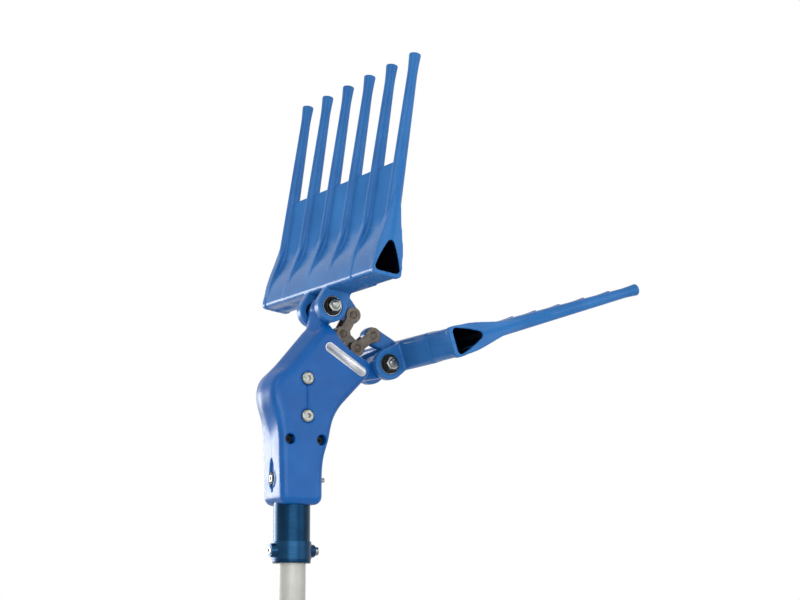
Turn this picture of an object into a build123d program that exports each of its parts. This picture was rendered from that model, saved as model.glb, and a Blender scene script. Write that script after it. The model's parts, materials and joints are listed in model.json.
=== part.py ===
"""Head of an electric olive harvester: two combs that clap together on a short length of pole."""
from math import atan, cos, degrees, pi, radians, sin, sqrt, tan
import os

from build123d import *

# Fits, millimetres
running_fit = 0.05        # radial room of a turning or sliding pair
moving_gap = 0.3          # room between faces that pass each other
open_pin_room = 0.75      # radial room of the pins where the linkage's loops are opened
seat_step = 0.2           # the pole's upper end is turned down by this to seat in the collar

# Pole, collar and clamp
pole_radius = 15.0
pole_wall = 1.6
pole_exposed = 120.0      # bare pole below the collar
pole_in_collar = 54.0
collar_radius = 19.5
collar_shown = 60.7       # from the collar's lower edge to the housing
collar_engaged = 36.3     # from there to its upper end, inside the housing
collar_lip_height = 4.0
collar_lip_proud = 0.8
collar_chamfer = 0.6
clamp_height = 18.6
clamp_wall = 1.4
clamp_boss_radius = 9.2   # of the two bosses at the pole, tapering outwards
clamp_boss_taper = 14.0   # degrees
clamp_boss_proud = 4.6
clamp_screw_radius = 2.5
clamp_head_radius = 4.6
clamp_head_room = 0.4
clamp_head_height = 4.4
clamp_head_sunk = {"left": 3.6, "right": 0.0}

# Housing: two moulded halves that meet at the mid-plane
neck_wall_left = 3.0      # of the lower part, outside the collar
neck_wall_right = 6.0
neck_height = 27.3        # straight stretch of the neck's right side
case_wall = 4.5
case_round = 8.0          # rounded front and rear edges
case_round_top = -24.0    # which stop here, along the head's axis
bulge_lean = 5.0          # the back leans in by this from the seam to the face, at the bulge
neck_lean = 9.0           # and at the neck under the upper pivot
foot_round = 9.0          # rounded lower edges
lug_depth = 17.0          # half thickness of the pivot lugs
lug_radius = 13.0
ear_pocket_room = 2.0     # round the comb's ears
gear_room = 4.5           # from the crank gear's pitch circle to the housing's back wall
back_wall = 5.5
mouth_width = 50.0        # where the levers reach in
mouth_length = 46.0
mouth_across = -2.0
mouth_along = -17.0
front_boss_back = 9.0     # from the mid-plane to the back of the front bolts' bosses

# Combs
head_tilt = 49.5          # degrees of the head's axis, midway between the combs, above the horizontal
pivot_spacing = 90.0
comb_opening = 31.8       # degrees from the head's axis with the combs fully open
tine_offset = 5.0         # the tines' plane passes this far inside the pivot
tine_count = 6
tine_pitch = 53.6
tine_length = 261.0       # from the pivot to the tip
tine_root = 45.0          # each tine's round bar starts here, inside the beam
tine_neck_radius = 6.8
tine_slim_radius = 5.3
tine_tip_radius = 6.5
tip_flare = 34.0
tip_chamfer = 1.2
web_reach = 144.0         # where the web meets the tines
web_sag = 6.0             # its upper edge dips by this between them
web_thickness = 3.0
beam_base = 18.3          # from the pivot to the beam's flat side
beam_half_width = 15.9
beam_wall = 3.6
beam_round = 4.5
sweep_start = 24.0        # the beam's sides sweep in to the web from here
sweep_end = 92.0
hollow_half_width = 15.2
hollow_apex = 60.0
hollow_bulge = 1.8        # of its two long sides
hollow_round = 4.0
hollow_stop = 6.0         # solid middle between the two hollows
band_step = 0.8           # the beam's middle and its two end lips stand this proud
lip_width = 7.2           # from an end tine's axis to the comb's end
lip_top = 72.0
lip_top_half = 1.8
ear_radius = 17.0
ear_thickness = 11.0
finger_half = 5.5         # half thickness of the lever finger
finger_root_radius = 7.0

# Bearings and pivot bolts
bearing_radius = 11.0
bearing_width = 7.0
bearing_inset = 0.8
bearing_ring = 1.3        # wall of the inner and outer ring
seal_sunk = 0.5
pin_radius = 4.0          # pivot bolts, link pins and crank shaft alike
washer_radius = 8.0
washer_thickness = 1.6
nut_across_flats = 13.0
nut_height = 6.5
bolt_head_height = 5.3
bolt_end_proud = 2.5

# Linkage in the head's own axes: across from the axis, and along it
lever_length = 34.5
lever_angle = 32.4        # degrees from the pivots' line with the combs open
link_pitch = 24.4
link_pin_across = 11.2    # crosshead pins, either side of the axis
link_lobe_radius = 8.5
link_waist = 11.0
link_thickness = 3.0
rivet_proud = 0.8
finger_eye_radius = 9.5
crosshead_eye_radius = 8.0
crosshead_bar = 13.0
stem_radius = 6.0
guide_clear = 4.4         # left between the crosshead and its guide at the end of the stroke
guide_length = 21.0
guide_width = 26.0
fork_clear = 1.85         # between the guide and the fork with the combs open
fork_room = 0.4           # between the fork and the crank gear's teeth
fork_cheek = 2.0
fork_width = 16.0
fork_length = 18.0
fork_bridge = 2.0
rod_eye_room = 1.0        # between the connecting rod's eye and the fork's bridge

# Crank drive inside the housing
crank_radius = 7.55
con_rod_length = 31.0
con_rod_eye_radius = 7.0
con_rod_waist = 8.0
wrist_pin_radius = 3.0
gear_teeth = 36
pinion_teeth = 12
gear_pitch_radius = 28.0
gear_face_width = 8.0
gear_thickness = 7.2
gear_hub_set = 1.3        # the gear's front face lies this far behind its tooth tips
pinion_hub = 3.0
pressure_angle = 20.0
tooth_room = 0.64         # of the tooth pitch, so that the teeth run with backlash
motor_seat = 1.0          # above the collar's upper end
motor_length = 22.0
motor_neck_radius = 7.5
motor_neck = 2.0
motor_floor = 2.0
motor_chamfer = 1.0
motor_shaft_radius = 2.5
shaft_shown = 13.2        # between the motor and the pinion

# Fasteners seen on the front and sides
front_bolt_across = 6.0
front_bolt_rise = {"upper": 29.8, "lower": -10.2}     # above the crank's axis
front_bolt_radius = 3.0
front_head_radius = 7.0
front_head_height = 3.6
front_head_round = 2.2
front_head_sunk = 1.6
front_head_room = 0.8
front_socket_radius = 2.9
front_groove_width = 1.6
front_groove_depth = 0.7
front_groove_end = 8.0    # left at each end between the groove and the bolts' axes
case_screw_across = {"left": -13.5, "right": 22.8}
case_screw_rise = 7.0     # above the floor of the housing's cavity
case_screw_hole_radius = 5.5
case_screw_hole_depth = 13.0
case_screw_radius = 2.5
case_screw_head_radius = 4.2
case_screw_head_height = 4.5
case_pillar_radius = 6.0
cross_bolt_rise = 27.9    # above the housing's lower edge
cross_bolt_radius = 2.5
cross_head_radius = 4.0
cross_head_height = 4.0
cross_head_room = 0.4
cross_bush_radius = 6.6   # black bush round the bolt's head
cross_bush_proud = 0.6
cross_boss_radius = 9.5   # low swelling round the bolt on each side
cross_boss_taper = 45.0   # degrees
cross_boss_proud = 1.6
cross_washer_radius = 7.0
cross_washer_thickness = 1.6
cross_nut_across_flats = 8.0
cross_nut_height = 5.0
cross_end_proud = 3.5
socket_depth = 2.2
socket_radius = 2.1
lens_depth = 3.0          # pointed recess on the seam round the cross bolt
lens_upper = 22.0
lens_lower = 15.0
lens_half = 5.0
label_length = 55.0
label_width = 10.6
label_thickness = 0.8
label_room = 0.3
label_turn = 8.0          # degrees
label_across = 4.2
label_along = -32.0

# Bevel pair: pitch cones that meet where the crank's axis crosses the motor's
cone_angle = atan(pinion_teeth / gear_teeth)
cone_length = gear_pitch_radius / cos(cone_angle)
cone_inner = cone_length - gear_face_width
tooth_pitch = 2 * pi * gear_pitch_radius / gear_teeth
addendum = tooth_pitch / pi
dedendum = 1.25 * addendum


def on_cone(length, lift):
    """Radius from the crank's axis and Y of a point at a cone distance, lifted towards the gear's tips."""
    scaled = lift * length / cone_length
    radius = length * cos(cone_angle) + scaled * sin(cone_angle)
    return (radius, length * sin(cone_angle) - scaled * cos(cone_angle))


# Depths from the mid-plane
tooth_front = on_cone(cone_inner, addendum)[1]
gear_front = tooth_front + gear_hub_set
gear_back = gear_front + gear_thickness
cavity_depth = gear_back + moving_gap + bearing_width
case_depth = cavity_depth + case_wall
fork_half = tooth_front - fork_room
con_rod_half = fork_half - fork_cheek - moving_gap
ear_inner = lug_depth + moving_gap
ear_outer = ear_inner + ear_thickness
bearing_face = ear_outer - bearing_inset
washer_face = bearing_face + moving_gap
clamp_face = washer_face + washer_thickness
link_inner = finger_half + moving_gap
link_outer = link_inner + link_thickness

# Places along the head's axis, from the pivots' line, with the combs open
tilt = radians(head_tilt)
upper_across = -pivot_spacing / 2
lower_across = pivot_spacing / 2
lever_across = lower_across - lever_length * cos(radians(lever_angle))
lever_along = lever_length * sin(radians(lever_angle))
crosshead_along = lever_along - sqrt(link_pitch**2 - (lever_across - link_pin_across) ** 2)
guide_top = crosshead_along - crosshead_eye_radius - 2 * crank_radius - guide_clear
guide_bottom = guide_top - guide_length
fork_top = guide_bottom - fork_clear
wrist_along = fork_top - fork_bridge - rod_eye_room - con_rod_eye_radius
crank_pin_along = wrist_along - con_rod_length
crank_along = crank_pin_along - crank_radius

# Heights up the pole's axis, and the housing's sides
collar_z = pole_exposed
case_z = collar_z + collar_shown
collar_top = case_z + collar_engaged
motor_bottom = collar_top + motor_seat
motor_top = motor_bottom + motor_length
cavity_floor = motor_top + motor_neck
pinion_foot = motor_top + shaft_shown
crank_z = pinion_foot + pinion_hub + gear_pitch_radius
head_centre = (-crank_along * cos(tilt), crank_z - crank_along * sin(tilt))
cross_at = (0, case_z + cross_bolt_rise)
case_left = -collar_radius - neck_wall_left
case_right = collar_radius + neck_wall_right
cross_boss_left = case_left - cross_boss_proud
cross_boss_right = case_right + cross_boss_proud


def head_point(across, along):
    """Place in the X-Z plane of a point given in the head's own axes."""
    x = head_centre[0] + across * sin(tilt) + along * cos(tilt)
    z = head_centre[1] - across * cos(tilt) + along * sin(tilt)
    return (x, z)


def by_crank(x, rise):
    """Place in the X-Z plane of a point given by its rise above the crank's axis."""
    return (x, crank_z + rise)


def side_plane(point, direction=0.0):
    """Plane that faces the front, with its own X axis turned by direction degrees from the world's X."""
    turn = radians(direction)
    return Plane(origin=(point[0], 0, point[1]), x_dir=(cos(turn), 0, sin(turn)), z_dir=(0, -1, 0))


def behind(plane, depth):
    """The same plane moved to Y = depth, so that an extrusion comes forward from there."""
    return plane.offset(-depth)


def along_head(edge):
    """How far along the head's axis an edge lies, from the pivots' line."""
    x = edge.center().X - head_centre[0]
    z = edge.center().Z - head_centre[1]
    return x * cos(tilt) + z * sin(tilt)


os.makedirs("parts", exist_ok=True)


def save(piece, name):
    piece.part.label = name
    export_step(piece.part, f"parts/{name}.step")


world = side_plane((0, 0))
head = side_plane(head_centre, head_tilt - 90)
crank = side_plane((0, crank_z))
label_axes = side_plane(head_point(label_across, label_along), head_tilt - 90 + label_turn)
pivots = {"upper": head_point(upper_across, 0), "lower": head_point(lower_across, 0)}
front_bolt_places = {name: by_crank(front_bolt_across, rise) for name, rise in front_bolt_rise.items()}
case_screw_places = {
    name: (across, cavity_floor + case_screw_rise) for name, across in case_screw_across.items()
}

# Pole: a plain tube whose turned end stands in the collar
with BuildPart() as pole:
    with BuildSketch(Plane.XY):
        Circle(pole_radius)
    extrude(amount=pole_exposed)
    with BuildSketch(Plane.XY.offset(pole_exposed)):
        Circle(pole_radius - seat_step)
    extrude(amount=pole_in_collar)
    with BuildSketch(Plane.XY):
        Circle(pole_radius - pole_wall)
    extrude(amount=pole_exposed + pole_in_collar, mode=Mode.SUBTRACT)
save(pole, "pole")

# Collar: turned sleeve with a lower lip, a shoulder for the pole and holes for the bolt and screws
clamp_middle = (0, 0, collar_z + collar_lip_height + clamp_height / 2)
clamp_axes = {
    "left": Plane(origin=clamp_middle, z_dir=(-1, 0, 0)),
    "right": Plane(origin=clamp_middle, z_dir=(1, 0, 0)),
}
with BuildPart() as collar:
    with BuildSketch(Plane.XY.offset(collar_z)):
        Circle(collar_radius)
    extrude(amount=collar_shown + collar_engaged)
    with BuildSketch(Plane.XY.offset(collar_z)):
        Circle(collar_radius + collar_lip_proud)
    extrude(amount=collar_lip_height)
    with BuildSketch(Plane.XY.offset(collar_z)):
        Circle(pole_radius - seat_step)
    extrude(amount=pole_in_collar, mode=Mode.SUBTRACT)
    with BuildSketch(Plane.XY.offset(collar_z)):
        Circle(pole_radius - pole_wall)
    extrude(amount=collar_shown + collar_engaged, mode=Mode.SUBTRACT)
    with BuildSketch(Plane.YZ.offset(cross_boss_left)):
        with Locations(cross_at):
            Circle(cross_bolt_radius)
    extrude(amount=cross_boss_right - cross_boss_left, mode=Mode.SUBTRACT)
    with BuildSketch(clamp_axes["left"]):
        Circle(clamp_screw_radius)
    extrude(amount=collar_radius, both=True, mode=Mode.SUBTRACT)
    chamfer(collar.edges().group_by(Axis.Z)[0].sort_by(SortBy.LENGTH)[-1], collar_chamfer)
save(collar, "collar")

# Clamp: two half bands that meet in a tapered boss on each side, and the two screws that bear on the pole
clamp_radius = collar_radius + clamp_wall
clamp_boss_end = clamp_radius + clamp_boss_proud
clamp_seats = {name: clamp_boss_end - sunk for name, sunk in clamp_head_sunk.items()}
with BuildPart() as clamp_ring:
    with BuildSketch(Plane.XY.offset(collar_z + collar_lip_height)):
        Circle(clamp_radius)
    extrude(amount=clamp_height)
    for boss_axes in clamp_axes.values():
        with BuildSketch(boss_axes.offset(pole_radius)):
            Circle(clamp_boss_radius)
        extrude(amount=clamp_boss_end - pole_radius, taper=clamp_boss_taper)
    with BuildSketch(Plane.XY.offset(collar_z)):
        Circle(collar_radius)
    extrude(amount=collar_shown, mode=Mode.SUBTRACT)
    for side_name, boss_axes in clamp_axes.items():
        with BuildSketch(boss_axes):
            Circle(clamp_screw_radius)
        extrude(amount=clamp_boss_end, mode=Mode.SUBTRACT)
        with BuildSketch(boss_axes.offset(clamp_seats[side_name])):
            Circle(clamp_head_radius + clamp_head_room)
        extrude(amount=clamp_head_height, mode=Mode.SUBTRACT)
for half_name, half_kept in (("front", Keep.TOP), ("rear", Keep.BOTTOM)):
    with BuildPart() as clamp_half:
        add(clamp_ring.part)
        split(bisect_by=Plane.XZ, keep=half_kept)
    save(clamp_half, f"clamp_{half_name}")

for side_name, boss_axes in clamp_axes.items():
    with BuildPart() as clamp_screw:
        with BuildSketch(boss_axes.offset(pole_radius)):
            Circle(clamp_screw_radius)
        extrude(amount=clamp_seats[side_name] - pole_radius)
        with BuildSketch(boss_axes.offset(clamp_seats[side_name])):
            Circle(clamp_head_radius)
        extrude(amount=clamp_head_height)
        with BuildSketch(boss_axes.offset(clamp_seats[side_name] + clamp_head_height)):
            RegularPolygon(socket_radius, 6)
        extrude(amount=-socket_depth, mode=Mode.SUBTRACT)
    save(clamp_screw, f"clamp_screw_{side_name}")

# Side views of the housing: lean is 0 at the seam and 1 at the front face, where the back leans in
cavity_back = -gear_pitch_radius - gear_room
case_back = cavity_back - back_wall
neck_right = (case_right, case_z + neck_height)
lower_shoulder = head_point(lower_across - 23, -15.5)
lower_cheek = head_point(lower_across - 8.5, -27)
lower_flank = head_point(lower_across - 11, -68)


def body_view(lean):
    """Outline of the thick part: neck, bulge round the crank, and shoulders at the head."""
    bulge = case_back + lean * bulge_lean
    neck = upper_across + lean * neck_lean
    back_low = by_crank(case_left - 2, -38)
    back_high = head_point(neck, -80)
    upper_shoulder = head_point(neck, -12)
    with BuildSketch() as view:
        with BuildLine():
            Line((case_left, case_z), back_low)
            Spline(
                back_low,
                by_crank(bulge + 6, -12),
                by_crank(bulge, 12),
                by_crank(bulge + 7.5, 33.5),
                back_high,
                tangents=((-0.04, 1), (cos(tilt), sin(tilt))),
            )
            Line(back_high, upper_shoulder)
            ThreePointArc(upper_shoulder, head_point(-14, -19.5), lower_shoulder)
            ThreePointArc(lower_shoulder, head_point(lower_across - 14, -18.5), lower_cheek)
            Line(lower_cheek, lower_flank)
            Spline(
                lower_flank,
                by_crank(gear_pitch_radius + 9.6, -14),
                by_crank(gear_pitch_radius + 5, -34),
                neck_right,
                tangents=((-cos(tilt), -sin(tilt)), (0, -1)),
            )
            Line(neck_right, (case_right, case_z))
            Line((case_right, case_z), (case_left, case_z))
        make_face()
    return view.sketch


def cavity_view(lean):
    """Outline of the room inside, which leans in with the wall round it."""
    back = cavity_back + lean * bulge_lean
    with BuildSketch() as view:
        with BuildLine():
            Polyline(
                (case_left + 4, cavity_floor),
                by_crank(back + 2.5, -11),
                by_crank(back, 10),
                by_crank(back + 6.5, 26),
                head_point(upper_across + 5 + lean * neck_lean, -24),
                head_point(lower_across - 21, -24),
                head_point(lower_across - 17, -28),
                head_point(lower_across - 17, -66),
                by_crank(gear_pitch_radius + 3, -14),
                (case_right + 0.5, cavity_floor),
                close=True,
            )
        make_face()
    return view.sketch


# Side views of the two pivot lugs with the arms that carry them
with BuildSketch() as upper_lug_view:
    with BuildLine():
        Polyline(
            head_point(upper_across - lug_radius, -1),
            head_point(upper_across + lug_radius, 0),
            head_point(upper_across + lug_radius, -30),
            head_point(upper_across + 2, -28),
            close=True,
        )
    make_face()
    with Locations(pivots["upper"]):
        Circle(lug_radius)
with BuildSketch() as lower_lug_view:
    with BuildLine():
        lug_sweep = Spline(
            head_point(lower_across - 16, -46),
            head_point(lower_across - 8.5, -31),
            head_point(lower_across + lug_radius - 2, -7),
            tangents=((0.72, 0.7), (0.95, 0.3)),
        )
        Polyline(
            lug_sweep @ 1,
            head_point(lower_across - lug_radius, 0),
            head_point(lower_across - 17, -20),
            lug_sweep @ 0,
        )
    make_face()
    with Locations(pivots["lower"]):
        Circle(lug_radius)

# Front half of the housing as both halves share it: body, lugs, cavity and bores
with BuildPart() as case_half:
    with BuildSketch(world):
        add(body_view(0))
    with BuildSketch(behind(world, -case_depth)):
        add(body_view(1))
    loft(ruled=True)
    fillet(case_half.edges().group_by(Axis.Z)[0].group_by(Axis.Y)[1], foot_round)
    front_edges = case_half.edges().group_by(Axis.Y)[0]
    fillet(front_edges.filter_by(lambda edge: along_head(edge) < case_round_top), case_round)
    with BuildSketch(behind(world, -lug_depth)):
        with Locations(*pivots.values()):
            Circle(ear_radius + ear_pocket_room)
    extrude(amount=case_depth, mode=Mode.SUBTRACT)
    with BuildSketch(world):
        add(upper_lug_view.sketch)
        add(lower_lug_view.sketch)
    extrude(amount=lug_depth)
    with BuildSketch(world):
        add(cavity_view(0))
    with BuildSketch(behind(world, -cavity_depth)):
        add(cavity_view(cavity_depth / case_depth))
    loft(ruled=True, mode=Mode.SUBTRACT)
    with BuildSketch(head):
        with Locations((mouth_across, mouth_along)):
            Rectangle(mouth_width, mouth_length)
    extrude(amount=cavity_depth, mode=Mode.SUBTRACT)
    with BuildSketch(world):
        with Locations(*pivots.values()):
            Circle(pin_radius)
    extrude(amount=case_depth, mode=Mode.SUBTRACT)
    with BuildSketch(world):
        with Locations(*case_screw_places.values()):
            Circle(case_pillar_radius)
    extrude(amount=cavity_depth)
    for boss_face, inwards in ((cross_boss_left, 1), (cross_boss_right, -1)):
        with BuildSketch(Plane(origin=(boss_face, 0, cross_at[1]), z_dir=(inwards, 0, 0))):
            Circle(cross_boss_radius)
        extrude(amount=neck_wall_left, taper=-cross_boss_taper)
    with BuildSketch(Plane.YZ.offset(cross_boss_left)):
        with BuildLine():
            lens_ends = ((0, cross_at[1] - lens_lower), (0, cross_at[1] + lens_upper))
            ThreePointArc(lens_ends[0], (lens_half, cross_at[1]), lens_ends[1])
            ThreePointArc(lens_ends[1], (-lens_half, cross_at[1]), lens_ends[0])
        make_face()
        with Locations(cross_at):
            Circle(cross_bush_radius)
    extrude(amount=lens_depth, mode=Mode.SUBTRACT)
    with BuildSketch(Plane.XY.offset(case_z - case_wall)):
        Circle(collar_radius)
    extrude(amount=cavity_floor - case_z + case_wall, mode=Mode.SUBTRACT)
    with BuildSketch(Plane.YZ.offset(cross_boss_left)):
        with Locations(cross_at):
            Circle(cross_bolt_radius)
    extrude(amount=cross_boss_right - cross_boss_left, mode=Mode.SUBTRACT)
    with BuildSketch(behind(world, 2 * cross_boss_radius)):
        with Locations(cross_at):
            Rectangle(4 * collar_radius, 4 * cross_boss_radius)
    extrude(amount=2 * cross_boss_radius, mode=Mode.SUBTRACT)

# Front half: bolt bosses with sunk heads, deep screw holes, a shallow groove and the label's recess
groove_middle = by_crank(front_bolt_across, sum(front_bolt_rise.values()) / 2)
groove_length = front_bolt_rise["upper"] - front_bolt_rise["lower"] - 2 * front_groove_end
with BuildPart() as housing_front:
    add(case_half.part)
    with BuildSketch(behind(world, -front_boss_back)):
        with Locations(*front_bolt_places.values()):
            Circle(front_head_radius)
    extrude(amount=cavity_depth - front_boss_back)
    with BuildSketch(behind(world, -front_boss_back)):
        with Locations(*front_bolt_places.values()):
            Circle(front_bolt_radius)
    extrude(amount=case_depth, mode=Mode.SUBTRACT)
    with BuildSketch(behind(world, -case_depth)):
        with Locations(*front_bolt_places.values()):
            Circle(front_head_radius + front_head_room)
    extrude(amount=-front_head_sunk, mode=Mode.SUBTRACT)
    with BuildSketch(behind(world, -case_depth)):
        with Locations(groove_middle):
            Rectangle(front_groove_width, groove_length)
    extrude(amount=-front_groove_depth, mode=Mode.SUBTRACT)
    with BuildSketch(world):
        with Locations(*case_screw_places.values()):
            Circle(case_screw_radius)
    extrude(amount=case_depth, mode=Mode.SUBTRACT)
    with BuildSketch(behind(world, case_screw_hole_depth - case_depth)):
        with Locations(*case_screw_places.values()):
            Circle(case_screw_hole_radius)
    extrude(amount=case_depth, mode=Mode.SUBTRACT)
    with BuildSketch(behind(label_axes, -case_depth)):
        SlotOverall(label_length + 2 * label_room, label_width + 2 * label_room)
    extrude(amount=-label_thickness / 2, mode=Mode.SUBTRACT)
save(housing_front, "housing_front")

# Rear half: the same form mirrored, with the crank bearing's seat and the screws' blind holes
with BuildPart() as housing_rear:
    mirror(case_half.part, about=Plane.XZ)
    with BuildSketch(behind(crank, cavity_depth)):
        Circle(bearing_radius + case_wall)
    extrude(amount=bearing_width)
    with BuildSketch(behind(crank, cavity_depth)):
        Circle(bearing_radius)
    extrude(amount=bearing_width, mode=Mode.SUBTRACT)
    with BuildSketch(behind(world, case_screw_hole_depth)):
        with Locations(*case_screw_places.values()):
            Circle(case_screw_radius)
    extrude(amount=case_screw_hole_depth, mode=Mode.SUBTRACT)
save(housing_rear, "housing_rear")

# Oval plate on the front face
with BuildPart() as label_plate:
    with BuildSketch(behind(label_axes, label_thickness / 2 - case_depth)):
        SlotOverall(label_length, label_width)
    extrude(amount=label_thickness)
save(label_plate, "label_plate")

# Button-head bolts on the front face
for bolt_name, bolt_place in front_bolt_places.items():
    seat = behind(side_plane(bolt_place), front_head_sunk - case_depth)
    with BuildPart() as front_bolt:
        with BuildSketch(seat):
            Circle(front_bolt_radius)
        extrude(amount=front_boss_back + front_head_sunk - case_depth)
        with BuildSketch(seat):
            Circle(front_head_radius)
        extrude(amount=front_head_height)
        fillet(front_bolt.edges().group_by(Axis.Y)[0], front_head_round)
        with BuildSketch(seat.offset(front_head_height)):
            RegularPolygon(front_socket_radius, 6)
        extrude(amount=-socket_depth, mode=Mode.SUBTRACT)
    save(front_bolt, f"front_bolt_{bolt_name}")

# Screws at the bottom of the two deep holes, which draw the halves together
for screw_name, screw_place in case_screw_places.items():
    seat = behind(side_plane(screw_place), case_screw_hole_depth - case_depth)
    with BuildPart() as case_screw:
        with BuildSketch(seat):
            Circle(case_screw_radius)
        extrude(amount=-case_depth)
        with BuildSketch(seat):
            Circle(case_screw_head_radius)
        extrude(amount=case_screw_head_height)
        with BuildSketch(seat.offset(case_screw_head_height)):
            RegularPolygon(socket_radius, 6)
        extrude(amount=-socket_depth, mode=Mode.SUBTRACT)
    save(case_screw, f"case_screw_{screw_name}")

# Bolt through both sides of the housing and the collar, with its bush, washer and nut
cross_seat = Plane.YZ.offset(cross_boss_left + lens_depth)
cross_nut_seat = cross_boss_right + cross_washer_thickness
cross_bolt_end = cross_nut_seat + cross_nut_height + cross_end_proud
with BuildPart() as cross_bolt:
    with BuildSketch(cross_seat):
        with Locations(cross_at):
            Circle(cross_bolt_radius)
    extrude(amount=cross_bolt_end - cross_boss_left - lens_depth)
    with BuildSketch(cross_seat):
        with Locations(cross_at):
            Circle(cross_head_radius)
    extrude(amount=-cross_head_height)
    with BuildSketch(cross_seat.offset(-cross_head_height)):
        with Locations(cross_at):
            RegularPolygon(socket_radius, 6)
    extrude(amount=socket_depth, mode=Mode.SUBTRACT)
save(cross_bolt, "cross_bolt")

with BuildPart() as cross_bush:
    with BuildSketch(cross_seat):
        with Locations(cross_at):
            Circle(cross_bush_radius)
            Circle(cross_head_radius + cross_head_room, mode=Mode.SUBTRACT)
    extrude(amount=-lens_depth - cross_bush_proud)
save(cross_bush, "cross_bush")

with BuildPart() as cross_washer:
    with BuildSketch(Plane.YZ.offset(cross_boss_right)):
        with Locations(cross_at):
            Circle(cross_washer_radius)
            Circle(cross_bolt_radius, mode=Mode.SUBTRACT)
    extrude(amount=cross_washer_thickness)
save(cross_washer, "cross_washer")

with BuildPart() as cross_nut:
    with BuildSketch(Plane.YZ.offset(cross_nut_seat)):
        with Locations(cross_at):
            RegularPolygon(cross_nut_across_flats / sqrt(3), 6)
            Circle(cross_bolt_radius, mode=Mode.SUBTRACT)
    extrude(amount=cross_nut_height)
save(cross_nut, "cross_nut")

# Comb sections, in the comb's own axes: across the tine, and along it from the pivot
def beam_section(proud):
    """Flat base, sides that sweep in to the tines' plane, and the web straight up from there."""
    half = beam_half_width + proud
    half_web = web_thickness / 2 - proud
    middle = (sweep_start + sweep_end) / 2
    with BuildSketch() as section:
        with BuildLine():
            right = Bezier((half, sweep_start), (half, middle), (half_web, middle), (half_web, sweep_end))
            left = Bezier((-half, sweep_start), (-half, middle), (-half_web, middle), (-half_web, sweep_end))
            Polyline(right @ 1, (half_web, web_reach), (-half_web, web_reach), left @ 1)
            Polyline(right @ 0, (half, beam_base - proud), (-half, beam_base - proud), left @ 0)
        make_face()
        fillet(section.vertices().group_by(Axis.Y)[0], beam_round)
    return section.sketch


with BuildSketch() as lip_section:
    lip_half = beam_half_width + band_step
    lip_base = beam_base - band_step
    lip_middle = (sweep_start + lip_top) / 2
    lip_ends = (
        (lip_half, sweep_start),
        (lip_half, lip_middle),
        (lip_top_half, lip_middle),
        (lip_top_half, lip_top),
    )
    with BuildLine():
        lip_right = Bezier(*lip_ends)
        lip_left = Bezier(*[(-across, along) for across, along in lip_ends])
        Line(lip_right @ 1, lip_left @ 1)
        Polyline(lip_right @ 0, (lip_half, lip_base), (-lip_half, lip_base), lip_left @ 0)
    make_face()
    fillet(lip_section.vertices().group_by(Axis.Y)[0], beam_round)
with BuildSketch() as beam_hollow:
    hollow_floor = beam_base + beam_wall
    hollow_side = (hollow_half_width / 2 + hollow_bulge, (hollow_floor + hollow_apex) / 2)
    with BuildLine():
        Line((-hollow_half_width, hollow_floor), (hollow_half_width, hollow_floor))
        ThreePointArc((hollow_half_width, hollow_floor), hollow_side, (0, hollow_apex))
        ThreePointArc((0, hollow_apex), (-hollow_side[0], hollow_side[1]), (-hollow_half_width, hollow_floor))
    make_face()
    fillet(beam_hollow.vertices(), hollow_round)
with BuildSketch() as tine_section:
    with BuildLine():
        taper = Line((tine_neck_radius, tine_root), (tine_slim_radius, tine_length - tip_flare))
        tip = TangentArc(taper @ 1, (tine_tip_radius, tine_length - tip_chamfer), tangent=taper % 1)
        Polyline(tip @ 1, (tine_tip_radius - tip_chamfer, tine_length), (0, tine_length))
        Polyline((0, tine_length), (0, tine_root), taper @ 0)
    make_face()

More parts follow.
